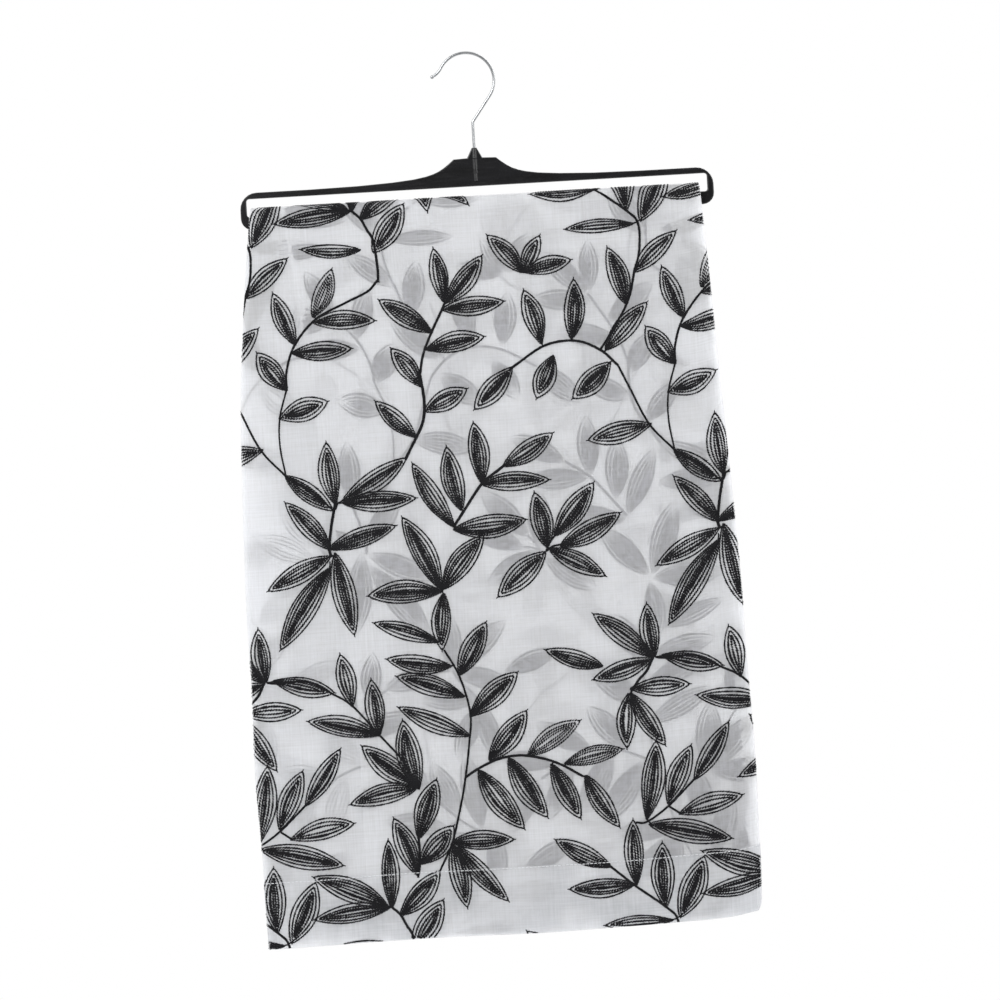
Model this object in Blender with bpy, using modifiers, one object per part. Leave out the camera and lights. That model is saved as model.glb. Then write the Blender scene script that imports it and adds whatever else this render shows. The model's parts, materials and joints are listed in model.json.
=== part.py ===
"""Sheer voile curtain, folded in three across its width and hung in four drops
over the lower bar of a closed flat hanger.

Metres, +Z up, +X right as seen from the front, and the front faces -Y.
The origin is the inside top of the hook, where a rail carries it.
Depths are measured down from the top of the hanger's hub.
"""

import math

import bmesh
import bpy

# ---------------------------------------------------------------- sizes
SEAT_TO_HUB = 0.0678        # inside top of the hook down to the hub's top
STEM_X = 0.0032             # the stem stands this far right of the hook's top

# curtain
PANEL_LENGTH = 2.134        # cut length, laid in four drops
SHEET = 0.0016              # one drop: three layers of voile pressed together
DROP_PITCH = 0.0028         # between the middles of two neighbouring drops
BAR_RADIUS_IN = 0.0057      # middle of the inner drop where it rolls over the bar
BAR_CENTRE = 0.0433         # depth of the centre of that roll
HANG_IN = 0.0034            # inner drop's distance from the middle plane lower down
CLOSE_OVER = 0.150          # the drops close up over this length below the bar
COLUMNS = 16                # quads across the width

# hanger
FRAME_HALF = 0.0018         # half the moulding's thickness
FRAME_ROUND = 0.0008        # rounding of its edges
SLOT_TOP = 0.0275
SLOT_HALF = 0.1660
BAR_TOP = BAR_CENTRE - 0.0026
BAR_BOTTOM = 0.0498
FRAME_SIDE = 0.1705         # outer face of the end posts
STEM_BORE = 0.0013          # radius of the hole that takes the hook's stem
STEM_BORE_DEPTH = 0.0083

# hook
WIRE = 0.0010               # wire radius
CROOK = 0.0202              # radius of the crook, on the wire's middle
KINK = 0.0187               # height of the bend above the hub
KINK_RADIUS = 0.0030
FLARE_FROM = math.radians(150.0)
FLARE_SWEEP = math.radians(36.0)
FLARE_RADIUS = 0.0150
STEM_IN = 0.0080            # length of the stem inside the hub

# side edges of the hanging bundle, from the stem's axis
EDGE_ROWS = (
    # depth, left,    right
    (0.034, -0.1630, 0.1595),
    (0.100, -0.1708, 0.1632),
    (0.168, -0.1772, 0.1665),
    (0.229, -0.1800, 0.1696),
    (0.315, -0.1822, 0.1734),
    (0.380, -0.1818, 0.1745),
    (0.445, -0.1828, 0.1765),
    (0.490, -0.1812, 0.1762),
    (0.530, -0.1806, 0.1757),
    (0.568, -0.1799, 0.1742),
)

# lower edge, by fraction of the width from the left
LOWER_ROWS = (
    # across, front,  back
    (0.00, 0.5668, 0.5660),
    (0.10, 0.5664, 0.5652),
    (0.25, 0.5654, 0.5646),
    (0.40, 0.5652, 0.5650),
    (0.55, 0.5658, 0.5668),
    (0.70, 0.5650, 0.5656),
    (0.85, 0.5638, 0.5634),
    (0.95, 0.5622, 0.5616),
    (1.00, 0.5588, 0.5584),
)

# soft swells of the hanging drops: where, how wide and how far out
SWELL_ROWS = (
    # side,   across, depth, reach, out
    ("front", 0.22, 0.190, 0.085, 0.0011),
    ("front", 0.74, 0.235, 0.095, -0.0008),
    ("front", 0.45, 0.345, 0.110, 0.0012),
    ("front", 0.12, 0.425, 0.075, -0.0007),
    ("front", 0.80, 0.445, 0.085, 0.0010),
    ("front", 0.38, 0.520, 0.060, -0.0006),
    ("front", 0.63, 0.545, 0.050, 0.0009),
    ("back", 0.30, 0.210, 0.100, 0.0010),
    ("back", 0.70, 0.300, 0.110, 0.0008),
    ("back", 0.25, 0.430, 0.100, -0.0006),
    ("back", 0.62, 0.500, 0.080, 0.0010),
)

# the back-and-forth course of the panel, from its hem to its top edge
COURSE_ROWS = (
    # run,          steps
    ("front_outer", 12),
    ("bar_outer", 8),
    ("back_outer", 10),
    ("lower_turn", 6),
    ("back_inner", 10),
    ("bar_inner", 8),
    ("front_inner", 11),
)

# upper outline of the hanger, right half
ARM_ROWS = (
    # out,    depth
    (0.0018, 0.0000),
    (0.0055, 0.0072),
    (0.0154, 0.0076),
    (0.0190, 0.0106),
    (0.0228, 0.0134),
    (0.0269, 0.0158),
    (0.0310, 0.0174),
    (0.0360, 0.0188),
    (0.0450, 0.0203),
    (0.0600, 0.0216),
    (0.0850, 0.0227),
    (0.1200, 0.0232),
)
SHOULDER_ROUND = 0.0120
FOOT_ROUND = 0.0080
SLOT_ROUND = 0.0020

# turned column that carries the stem
COLUMN_ROWS = (
    # radius, depth
    (0.0000, 0.0004),
    (0.0018, 0.0004),
    (0.0024, 0.0070),
    (0.0025, 0.0185),
    (0.0021, 0.0196),
    (0.0021, 0.0240),
    (0.0000, 0.0240),
)


# ---------------------------------------------------------------- helpers
def smooth(t):
    t = min(1.0, max(0.0, t))
    return t * t * (3.0 - 2.0 * t)


def read_rows(rows, key, column):
    """Value of a column at key, on a smooth curve through the rows."""
    if key <= rows[0][0]:
        return rows[0][column]
    if key >= rows[-1][0]:
        return rows[-1][column]

    def slope(i):
        low, high = rows[max(0, i - 1)], rows[min(len(rows) - 1, i + 1)]
        return (high[column] - low[column]) / (high[0] - low[0])

    i = max(n for n, row in enumerate(rows) if row[0] <= key)
    low, high = rows[i], rows[i + 1]
    span = high[0] - low[0]
    t = (key - low[0]) / span
    return (
        (2.0 * t**3 - 3.0 * t**2 + 1.0) * low[column]
        + (t**3 - 2.0 * t**2 + t) * span * slope(i)
        + (3.0 * t**2 - 2.0 * t**3) * high[column]
        + (t**3 - t**2) * span * slope(i + 1)
    )


def at(x, depth):
    """World x and z of a place given from the stem's axis and the hub's top."""
    return STEM_X + x, -SEAT_TO_HUB - depth


def arc(cx, cz, radius, start, end, steps):
    return [
        (
            cx + radius * math.cos(start + (end - start) * i / steps),
            cz + radius * math.sin(start + (end - start) * i / steps),
        )
        for i in range(steps + 1)
    ]


def material(name, colour, roughness, metallic=0.0):
    made = bpy.data.materials.new(name)
    made.use_nodes = True
    shader = made.node_tree.nodes["Principled BSDF"]
    shader.inputs["Base Color"].default_value = (*colour, 1.0)
    shader.inputs["Roughness"].default_value = roughness
    shader.inputs["Metallic"].default_value = metallic
    made.diffuse_color = (*colour, 1.0)
    return made


def link(obj, collection):
    for old in list(obj.users_collection):
        old.objects.unlink(obj)
    collection.objects.link(obj)


def mesh_from(obj, collection):
    """The evaluated curve as a welded mesh object; the curve is removed."""
    name = obj.name
    evaluated = obj.evaluated_get(bpy.context.evaluated_depsgraph_get())
    mesh = bpy.data.meshes.new_from_object(evaluated)
    cage = bmesh.new()
    cage.from_mesh(mesh)
    bmesh.ops.remove_doubles(cage, verts=cage.verts, dist=0.00001)
    bmesh.ops.recalc_face_normals(cage, faces=cage.faces)
    cage.to_mesh(mesh)
    cage.free()
    matrix = obj.matrix_world.copy()
    bpy.data.objects.remove(obj)
    made = bpy.data.objects.new(name, mesh)
    made.matrix_world = matrix
    collection.objects.link(made)
    return made


# ---------------------------------------------------------------- curtain
def swell(side, across, depth):
    """How far the drops of one side stand out from their plain line."""
    total = 0.0
    for row_side, row_across, row_depth, reach, out in SWELL_ROWS:
        if row_side == side:
            dx = (across - row_across) * 0.350
            dz = depth - row_depth
            total += out * math.exp(-(dx * dx + dz * dz) / (reach * reach))
    return total * smooth((depth - BAR_CENTRE) / 0.060)


def drop_y(side, layer, across, depth):
    """Distance of a drop from the middle plane; layer 0 is the inner one."""
    near_bar = BAR_RADIUS_IN
    close = smooth((depth - BAR_CENTRE) / CLOSE_OVER)
    plain = near_bar + (HANG_IN - near_bar) * close
    return plain + layer * DROP_PITCH + swell(side, across, depth)


def end_depth(across):
    """Where the panel's top edge ends inside the bundle, from its length."""
    front = read_rows(LOWER_ROWS, across, 1)
    back = read_rows(LOWER_ROWS, across, 2)
    used = (front - BAR_CENTRE) + 2.0 * (back - BAR_CENTRE)
    used += math.pi * (2.0 * BAR_RADIUS_IN + DROP_PITCH)
    used += (math.pi - 2.0) * DROP_PITCH / 2.0
    return min(BAR_CENTRE + PANEL_LENGTH - used, front - 0.003)


def course_point(across, run, t):
    """Distance from the middle plane (front negative) and depth."""
    front = read_rows(LOWER_ROWS, across, 1)
    back = read_rows(LOWER_ROWS, across, 2)
    turn = DROP_PITCH / 2.0
    outer = BAR_RADIUS_IN + DROP_PITCH
    if run == "front_outer":
        depth = front + (BAR_CENTRE - front) * t
        return -drop_y("front", 1, across, depth), depth
    if run == "bar_outer":
        angle = math.pi * t
        return -outer * math.cos(angle), BAR_CENTRE - outer * math.sin(angle)
    if run == "back_outer":
        depth = BAR_CENTRE + (back - turn - BAR_CENTRE) * t
        return drop_y("back", 1, across, depth), depth
    if run == "lower_turn":
        angle = math.pi * t
        middle = drop_y("back", 0.5, across, back - turn)
        return middle + turn * math.cos(angle), back - turn + turn * math.sin(angle)
    if run == "back_inner":
        depth = back - turn + (BAR_CENTRE - back + turn) * t
        return drop_y("back", 0, across, depth), depth
    if run == "bar_inner":
        angle = math.pi * (1.0 - t)
        return (
            -BAR_RADIUS_IN * math.cos(angle),
            BAR_CENTRE - BAR_RADIUS_IN * math.sin(angle),
        )
    depth = BAR_CENTRE + (end_depth(across) - BAR_CENTRE) * t
    return -drop_y("front", 0, across, depth), depth


def course_place(step):
    """Run and fraction along it for a whole number of steps from the hem."""
    for run, steps in COURSE_ROWS:
        if step <= steps:
            return run, step / steps
        step -= steps
    return COURSE_ROWS[-1][0], 1.0


def make_curtain(collection):
    rows = sum(steps for _, steps in COURSE_ROWS)
    bpy.ops.mesh.primitive_grid_add(
        x_subdivisions=COLUMNS, y_subdivisions=rows, size=1.0, calc_uvs=False
    )
    sheet = bpy.context.object
    sheet.name = "voile_curtain"
    link(sheet, collection)
    for vertex in sheet.data.vertices:
        across = min(1.0, max(0.0, vertex.co.x + 0.5))
        run, t = course_place(round((vertex.co.y + 0.5) * rows))
        y, depth = course_point(across, run, t)
        left = read_rows(EDGE_ROWS, depth, 1)
        right = read_rows(EDGE_ROWS, depth, 2)
        x, z = at(left + (right - left) * across, depth)
        vertex.co = (x, y, z)
    thick = sheet.modifiers.new("cloth thickness", "SOLIDIFY")
    thick.thickness = SHEET
    thick.offset = 0.0
    thick.use_even_offset = True
    thick.use_quality_normals = True
    sheet.data.shade_smooth()
    sheet.data.materials.append(material("white voile", (0.80, 0.81, 0.83), 0.9))
    return sheet


# ---------------------------------------------------------------- hanger
def frame_outline():
    """Outer edge of the moulding, right half, from the top middle down."""
    right = list(ARM_ROWS)
    top = ARM_ROWS[-1][1]
    shoulder = arc(
        FRAME_SIDE - SHOULDER_ROUND, top + SHOULDER_ROUND, SHOULDER_ROUND,
        -math.pi / 2.0, 0.0, 6,
    )
    foot = arc(
        FRAME_SIDE - FOOT_ROUND, BAR_BOTTOM - FOOT_ROUND, FOOT_ROUND,
        0.0, math.pi / 2.0, 5,
    )
    right += shoulder + foot
    left = [(-x, depth) for x, depth in reversed(right)]
    return right + left


def slot_outline():
    right = arc(
        SLOT_HALF - SLOT_ROUND, SLOT_TOP + SLOT_ROUND, SLOT_ROUND,
        -math.pi / 2.0, 0.0, 4,
    ) + arc(
        SLOT_HALF - SLOT_ROUND, BAR_TOP - SLOT_ROUND, SLOT_ROUND,
        0.0, math.pi / 2.0, 4,
    )
    left = [(-x, depth) for x, depth in reversed(right)]
    return right + left


def make_frame(collection, cutters):
    outline = bpy.data.curves.new("hanger_body", "CURVE")
    outline.dimensions = "2D"
    outline.fill_mode = "BOTH"
    outline.extrude = FRAME_HALF - FRAME_ROUND
    outline.bevel_depth = FRAME_ROUND
    outline.bevel_resolution = 1
    outline.offset = -FRAME_ROUND
    for points in (frame_outline(), slot_outline()):
        spline = outline.splines.new("POLY")
        spline.points.add(len(points) - 1)
        for point, (x, depth) in zip(spline.points, points):
            point.co = (x, -depth, 0.0, 1.0)
        spline.use_cyclic_u = True
    flat = bpy.data.objects.new("hanger_body", outline)
    flat.location = (STEM_X, 0.0, -SEAT_TO_HUB)
    flat.rotation_euler = (math.pi / 2.0, 0.0, 0.0)
    collection.objects.link(flat)
    bpy.context.view_layer.update()
    body = mesh_from(flat, collection)

    profile = bpy.data.meshes.new("stem column")
    points = [(radius, 0.0, -depth) for radius, depth in COLUMN_ROWS]
    profile.from_pydata(points, [(i, i + 1) for i in range(len(points) - 1)], [])
    column = bpy.data.objects.new("stem column", profile)
    column.location = (STEM_X, 0.0, -SEAT_TO_HUB)
    cutters.objects.link(column)
    turn = column.modifiers.new("turn", "SCREW")
    turn.steps = 20
    turn.render_steps = 20
    turn.use_merge_vertices = True
    turn.merge_threshold = 0.00001
    column.hide_render = True
    column.display_type = "WIRE"

    bpy.ops.mesh.primitive_cylinder_add(
        vertices=16, radius=STEM_BORE, depth=2.0 * STEM_BORE_DEPTH,
        location=(STEM_X, 0.0, -SEAT_TO_HUB),
    )
    bore = bpy.context.object
    bore.name = "stem bore"
    bore.hide_render = True
    bore.display_type = "WIRE"
    link(bore, cutters)

    join = body.modifiers.new("stem column", "BOOLEAN")
    join.operation = "UNION"
    join.solver = "EXACT"
    join.object = column
    cut = body.modifiers.new("stem bore", "BOOLEAN")
    cut.operation = "DIFFERENCE"
    cut.solver = "EXACT"
    cut.object = bore
    body.data.materials.clear()
    body.data.materials.append(material("black plastic", (0.015, 0.015, 0.017), 0.42))
    return body


# ---------------------------------------------------------------- hook
def hook_line():
    """Middle of the wire from its tip to the stem's end, as x and height
    above the hub, both from the stem's axis."""
    cx = -STEM_X
    cz = SEAT_TO_HUB + WIRE - CROOK
    flare_x = cx + (CROOK + FLARE_RADIUS) * math.cos(FLARE_FROM)
    flare_z = cz + (CROOK + FLARE_RADIUS) * math.sin(FLARE_FROM)
    inward = FLARE_FROM - math.pi
    points = arc(flare_x, flare_z, FLARE_RADIUS, inward - FLARE_SWEEP, inward, 7)
    # the crook runs over the top to where the straight run to the kink leaves it
    away = math.hypot(0.0 - cx, KINK - cz)
    leave = math.atan2(KINK - cz, 0.0 - cx) + math.acos(CROOK / away)
    points += arc(cx, cz, CROOK, FLARE_FROM, leave, 26)[1:]
    last_x, last_z = points[-1]
    run = math.hypot(last_x, last_z - KINK)
    dir_x, dir_z = -last_x / run, (KINK - last_z) / run
    turn = math.acos(-dir_z)
    back = KINK_RADIUS * math.tan(turn / 2.0)
    for t in (0.34, 0.67):
        points.append((last_x + dir_x * (run - back) * t, last_z + dir_z * (run - back) * t))
    points += arc(KINK_RADIUS, KINK - back, KINK_RADIUS, math.pi - turn, math.pi, 4)
    for t in (0.5, 1.0):
        points.append((0.0, (KINK - back) + (-STEM_IN - KINK + back) * t))
    return points


def make_hook(collection):
    line = bpy.data.curves.new("hanger_hook", "CURVE")
    line.dimensions = "3D"
    line.bevel_depth = WIRE
    line.bevel_resolution = 2
    line.use_fill_caps = True
    points = hook_line()
    spline = line.splines.new("POLY")
    spline.points.add(len(points) - 1)
    for point, (x, height) in zip(spline.points, points):
        point.co = (x, 0.0, height, 1.0)
    line.materials.append(material("bright steel wire", (0.62, 0.62, 0.64), 0.22, 1.0))
    hook = bpy.data.objects.new("hanger_hook", line)
    hook.location = (STEM_X, 0.0, -SEAT_TO_HUB)
    collection.objects.link(hook)
    return hook


def main():
    for obj in list(bpy.data.objects):
        bpy.data.objects.remove(obj)
    parts = bpy.data.collections.new("folded voile curtain")
    cutters = bpy.data.collections.new("cutters")
    bpy.context.scene.collection.children.link(parts)
    bpy.context.scene.collection.children.link(cutters)
    make_curtain(parts)
    make_frame(parts, cutters)
    make_hook(parts)
    bpy.context.view_layer.update()


main()
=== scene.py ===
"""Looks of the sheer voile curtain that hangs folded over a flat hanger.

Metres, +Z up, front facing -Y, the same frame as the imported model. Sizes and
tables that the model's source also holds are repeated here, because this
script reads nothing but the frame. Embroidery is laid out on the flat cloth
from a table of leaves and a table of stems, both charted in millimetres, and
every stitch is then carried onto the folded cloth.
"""

import json
import math

import bpy
import numpy as np
from mathutils import Matrix, Vector

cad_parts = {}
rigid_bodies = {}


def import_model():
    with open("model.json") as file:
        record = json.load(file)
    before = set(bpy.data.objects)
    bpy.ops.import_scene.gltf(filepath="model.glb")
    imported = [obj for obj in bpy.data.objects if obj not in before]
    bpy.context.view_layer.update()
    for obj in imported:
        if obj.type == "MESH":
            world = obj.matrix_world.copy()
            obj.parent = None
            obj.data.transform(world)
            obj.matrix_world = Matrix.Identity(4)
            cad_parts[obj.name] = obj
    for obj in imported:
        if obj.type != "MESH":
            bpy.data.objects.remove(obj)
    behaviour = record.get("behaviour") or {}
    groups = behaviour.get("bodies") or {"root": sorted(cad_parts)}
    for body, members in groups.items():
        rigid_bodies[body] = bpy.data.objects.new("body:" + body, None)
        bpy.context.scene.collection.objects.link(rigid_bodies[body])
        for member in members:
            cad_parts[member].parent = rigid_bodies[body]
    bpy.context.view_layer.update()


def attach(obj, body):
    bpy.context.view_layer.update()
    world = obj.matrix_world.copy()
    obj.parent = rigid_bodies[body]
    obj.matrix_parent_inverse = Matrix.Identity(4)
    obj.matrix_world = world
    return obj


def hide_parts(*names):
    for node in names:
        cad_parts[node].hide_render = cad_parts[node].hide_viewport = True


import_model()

# ---------------------------------------------------------------- sizes
SEAT_TO_HUB = 0.0678
STEM_X = 0.0032
PANEL_LENGTH = 2.134
PANEL_WIDTH = 0.940
HEM = 0.048                 # the lower edge is turned up this far
DROP_PITCH = 0.0028
BAR_RADIUS_IN = 0.0057
BAR_CENTRE = 0.0433
HANG_IN = 0.0034
CLOSE_OVER = 0.150
LEFT_PART = 0.480           # flat cloth left of the stem's line, the rest is right of it
LAYER = 0.0006              # between the three layers of one drop

WIRE = 0.0010
CROOK = 0.0202
KINK = 0.0187
KINK_RADIUS = 0.0030
FLARE_FROM = math.radians(150.0)
FLARE_SWEEP = math.radians(36.0)
FLARE_RADIUS = 0.0150
STEM_IN = 0.0080

EDGE_ROWS = (
    # depth, left,    right
    (0.034, -0.1630, 0.1595),
    (0.100, -0.1708, 0.1632),
    (0.168, -0.1772, 0.1665),
    (0.229, -0.1800, 0.1696),
    (0.315, -0.1822, 0.1734),
    (0.380, -0.1818, 0.1745),
    (0.445, -0.1828, 0.1765),
    (0.490, -0.1812, 0.1762),
    (0.530, -0.1806, 0.1757),
    (0.568, -0.1799, 0.1742),
)

LOWER_ROWS = (
    # across, front,  back
    (0.00, 0.5668, 0.5660),
    (0.10, 0.5664, 0.5652),
    (0.25, 0.5654, 0.5646),
    (0.40, 0.5652, 0.5650),
    (0.55, 0.5658, 0.5668),
    (0.70, 0.5650, 0.5656),
    (0.85, 0.5638, 0.5634),
    (0.95, 0.5622, 0.5616),
    (1.00, 0.5588, 0.5584),
)

SWELL_ROWS = (
    # side,   across, depth, reach, out
    ("front", 0.22, 0.190, 0.085, 0.0011),
    ("front", 0.74, 0.235, 0.095, -0.0008),
    ("front", 0.45, 0.345, 0.110, 0.0012),
    ("front", 0.12, 0.425, 0.075, -0.0007),
    ("front", 0.80, 0.445, 0.085, 0.0010),
    ("front", 0.38, 0.520, 0.060, -0.0006),
    ("front", 0.63, 0.545, 0.050, 0.0009),
    ("back", 0.30, 0.210, 0.100, 0.0010),
    ("back", 0.70, 0.300, 0.110, 0.0008),
    ("back", 0.25, 0.430, 0.100, -0.0006),
    ("back", 0.62, 0.500, 0.080, 0.0010),
)

# creases pressed into the hanging drops, as soft ridges (out above 0) or troughs
CREASE_ROWS = (
    # side,   x1,     depth1, x2,     depth2, width,  out
    ("front", -0.090, 0.070, -0.097, 0.300, 0.0060, 0.00035),
    ("front", 0.060, 0.060, 0.052, 0.230, 0.0070, -0.00030),
    ("front", 0.118, 0.080, 0.128, 0.400, 0.0080, 0.00035),
    ("front", -0.030, 0.080, -0.022, 0.200, 0.0060, 0.00030),
    ("front", -0.170, 0.330, 0.160, 0.318, 0.0100, 0.00040),
    ("front", -0.150, 0.190, 0.060, 0.205, 0.0080, -0.00025),
    ("front", 0.020, 0.440, 0.165, 0.425, 0.0080, 0.00030),
    ("front", -0.060, 0.400, -0.085, 0.540, 0.0070, 0.00030),
    ("front", 0.085, 0.470, 0.100, 0.560, 0.0060, -0.00030),
    ("back", -0.080, 0.070, -0.070, 0.420, 0.0070, 0.00035),
    ("back", 0.070, 0.070, 0.090, 0.520, 0.0080, -0.00030),
    ("back", -0.160, 0.300, 0.160, 0.310, 0.0100, 0.00040),
    ("back", 0.000, 0.150, 0.020, 0.360, 0.0070, 0.00030),
)

# ---------------------------------------------------------------- pattern
REPEAT_ACROSS = 279.0
REPEAT_UP = 500.0

# one row for each leaf: where it leaves its stem, which way it points, its size
LEAF_ROWS = (
    # name, x,   up,  heading, long, wide, kind
    ("A1", -148, 338, -40, 42, 13, "split+2"),
    ("A2", -114, 316, 95, 44, 15, "split+2"),
    ("A3", -108, 318, 30, 54, 15, "both+2"),
    ("A4", -108, 316, 0, 52, 15, "split-2"),
    ("A5", -120, 284, 130, 46, 14, "split+2"),
    ("A6", -120, 284, 15, 50, 14, "dense+1"),
    ("A7", -120, 278, -155, 50, 15, "both+1"),
    ("A8", -120, 270, -125, 68, 18, "split+3"),
    ("A9", -116, 280, -80, 60, 17, "both+2"),
    ("L1", -164, 358, -170, 46, 16, "both+2"),
    ("L2", -150, 380, 15, 36, 17, "both+2"),
    ("L3", -144, 400, 125, 34, 16, "dense+1"),
    ("B0", -48, 396, 125, 34, 14, "dense+1"),
    ("B1", -46, 378, 25, 34, 15, "both+1"),
    ("B2", -54, 360, 135, 38, 13, "split-2"),
    ("B3", -30, 294, 120, 54, 14, "split-3"),
    ("B4", -24, 306, 100, 46, 16, "split-2"),
    ("B5", -8, 324, 95, 44, 15, "split-1"),
    ("B6", 8, 336, 30, 42, 15, "dense+1"),
    ("B7", -8, 324, 0, 48, 14, "split-2"),
    ("B8", -30, 292, 5, 52, 17, "dense+0"),
    ("T1", 18, 406, -135, 40, 16, "both+2"),
    ("T2", 48, 412, -115, 32, 16, "dense+1"),
    ("T3", 88, 404, -140, 36, 17, "both+1"),
    ("C1", -42, 250, 115, 58, 17, "split-2"),
    ("C2", -40, 250, 50, 48, 17, "split-1"),
    ("C3", -42, 248, 180, 52, 17, "split-1"),
    ("C4", -40, 246, -95, 40, 14, "split-1"),
    ("D1", -46, 212, 160, 48, 12, "split+2"),
    ("D2", -38, 194, 170, 46, 14, "split-2"),
    ("D3", -30, 172, 160, 50, 15, "split+2"),
    ("D4", -28, 144, 155, 54, 14, "both+4"),
    ("D5", -32, 188, 60, 42, 16, "dense+1"),
    ("D6", -26, 158, 40, 46, 17, "split-2"),
    ("E2", 108, 192, 95, 38, 14, "split+2"),
    ("E3", 106, 192, 140, 52, 15, "split+4"),
    ("E4", 106, 190, -165, 44, 14, "both+1"),
    ("Eb", 70, 188, 160, 42, 13, "split-1"),
    ("E1", 114, 192, -15, 44, 14, "split-3"),
    ("E5", 90, 170, 0, 42, 14, "both+2"),
    ("E6", 88, 166, -95, 38, 14, "both+1"),
    ("E7", 90, 166, -60, 44, 14, "split+2"),
    ("E8", -110, 170, 100, 38, 14, "both+2"),
    ("E9", -92, 148, 95, 40, 14, "split+2"),
    ("E10", -92, 148, 165, 52, 15, "split-2"),
    ("F1", -68, 110, 140, 48, 17, "split+2"),
    ("F2", -66, 108, 100, 50, 18, "split-2"),
    ("F3", -68, 108, -170, 48, 15, "split+1"),
    ("G1", -14, 126, 50, 44, 17, "split-2"),
    ("G2", 14, 128, 30, 44, 15, "net+1"),
    ("G3", 40, 120, 10, 42, 13, "net+0"),
    ("G4", -22, 118, -55, 52, 18, "split-3"),
    ("G5", 0, 126, -60, 50, 17, "split-3"),
    ("G6", 30, 120, -65, 44, 15, "split-2"),
    ("G7", 54, 110, -60, 44, 14, "split+3"),
    ("K0", -68, 72, 70, 44, 17, "split+1"),
    ("K1", -44, 68, 0, 44, 14, "dense+1"),
    ("K2", -44, 66, -80, 46, 15, "split-2"),
    ("K3", -40, 64, -50, 52, 14, "split+2"),
    ("K4", -68, 54, 45, 36, 17, "dense+1"),
    ("K5", -70, 46, 110, 44, 16, "split+2"),
    ("K6", -84, 18, 45, 42, 16, "split-2"),
    ("K7", -90, 24, 90, 48, 13, "split-1"),
    ("K8", -94, 26, 155, 56, 17, "split+3"),
    ("K9", -92, 24, -175, 54, 14, "split-1"),
    ("K10", -76, -6, 55, 40, 18, "both+2"),
    ("K11", -86, -4, 175, 42, 10, "split-1"),
    ("M1", 96, 76, 80, 56, 17, "split-3"),
    ("M2", 112, 86, 65, 44, 16, "both+3"),
    ("M3", 132, 102, 55, 46, 14, "both+2"),
    ("M4", 120, 78, 10, 46, 15, "both+3"),
    ("M5", 98, 72, -15, 60, 17, "both+1"),
    ("N1", 86, 30, 90, 46, 14, "split+2"),
    ("N2", 68, 44, 150, 44, 14, "split-1"),
    ("N3", 84, 30, -180, 46, 14, "split+1"),
    ("N4", 106, 12, 90, 46, 17, "both+2"),
    ("N5", 116, 4, 65, 46, 19, "both+2"),
    ("N6", 110, 2, 180, 48, 10, "dense+1"),
    ("H1", 36, 276, 100, 40, 16, "split+1"),
    ("H2", 42, 284, 50, 46, 17, "dense+1"),
    ("H3", 46, 276, 25, 48, 16, "dense+1"),
    ("H4", 38, 274, -30, 44, 14, "split-1"),
    ("H5", 34, 272, -140, 46, 18, "both+3"),
    # sprays of the builder's own for the stretch between the repeats
    ("P1", -42, 422, 10, 42, 15, "split+2"),
    ("P2", -38, 434, 145, 44, 15, "dense+1"),
    ("P3", -26, 455, 50, 42, 15, "split-2"),
    ("P4", -29, 450, 5, 44, 14, "both+1"),
    ("P5", -28, 456, 98, 38, 13, "split+2"),
    ("Q1", 62, 424, 85, 42, 15, "dense+1"),
    ("Q2", 40, 422, 105, 40, 15, "split+2"),
    ("Q3", 86, 414, 45, 44, 15, "split-2"),
    ("Q4", 110, 468, 40, 40, 14, "both+2"),
    ("Q5", 102, 446, 105, 42, 15, "dense+1"),
    ("R1", -138, 426, 0, 42, 14, "split+2"),
    ("R2", -136, 432, 110, 40, 14, "split-2"),
    ("R3", -122, 451, 65, 36, 14, "net+1"),
    ("R4", -122, 447, -3, 44, 14, "both+1"),
    ("S1", 30, 474, 62, 28, 12, "split-2"),
    ("S2", 31, 474, 10, 34, 13, "dense+1"),
    ("S3", 29, 474, 130, 36, 14, "split+2"),
)

# one row for each stem: how thick its thread is, then the places it passes
STEM_ROWS = (
    (1.3, (94, 402), (102, 384), (114, 358), (131, 338)),
    (1.1, (-144, 400), (-150, 380), (-151, 360), (-148, 338)),
    (1.2, (-148, 338), (-130, 326), (-116, 312), (-112, 316)),
    (1.9, (-114, 316), (-118, 298), (-120, 284), (-119, 278)),
    (1.9, (-48, 404), (-46, 384), (-48, 370), (-54, 358), (-62, 344)),
    (1.8, (-30, 294), (-20, 308), (-8, 324), (8, 336)),
    (1.3, (-42, 206), (-32, 186), (-26, 160), (-28, 138), (-32, 114), (-36, 96), (-44, 68), (-54, 48)),
    (1.6, (107, 191), (102, 182), (96, 176), (90, 168)),
    (1.3, (-170, 191), (-162, 190), (-142, 190), (-124, 180), (-110, 170), (-92, 148), (-76, 128), (-68, 110)),
    (1.6, (-32, 114), (-22, 120), (-8, 126), (6, 128), (20, 126), (36, 120), (52, 110)),
    (1.5, (-68, 72), (-68, 60), (-70, 44)),
    (1.6, (-90, 24), (-84, 18), (-80, 10), (-76, 2), (-74, -16), (-74, -28)),
    (1.3, (88, 74), (96, 74), (112, 84), (132, 102)),
    (1.3, (112, 84), (120, 78)),
    (1.5, (68, 44), (86, 28), (106, 12), (114, 2), (114, -16), (110, -32)),
    (1.6, (94, 402), (82, 414), (64, 422), (42, 420), (18, 406)),
    (1.6, (-48, 404), (-45, 418), (-38, 434), (-30, 449), (-27, 455)),
    (1.5, (82, 414), (92, 428), (104, 448), (110, 470)),
    (1.3, (35, 273), (38, 279), (43, 285)),
    (1.3, (35, 273), (40, 276), (47, 277)),
    (1.5, (-144, 400), (-143, 414), (-136, 432), (-120, 449), (-98, 459), (-82, 466), (-74, 474)),
)


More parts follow.
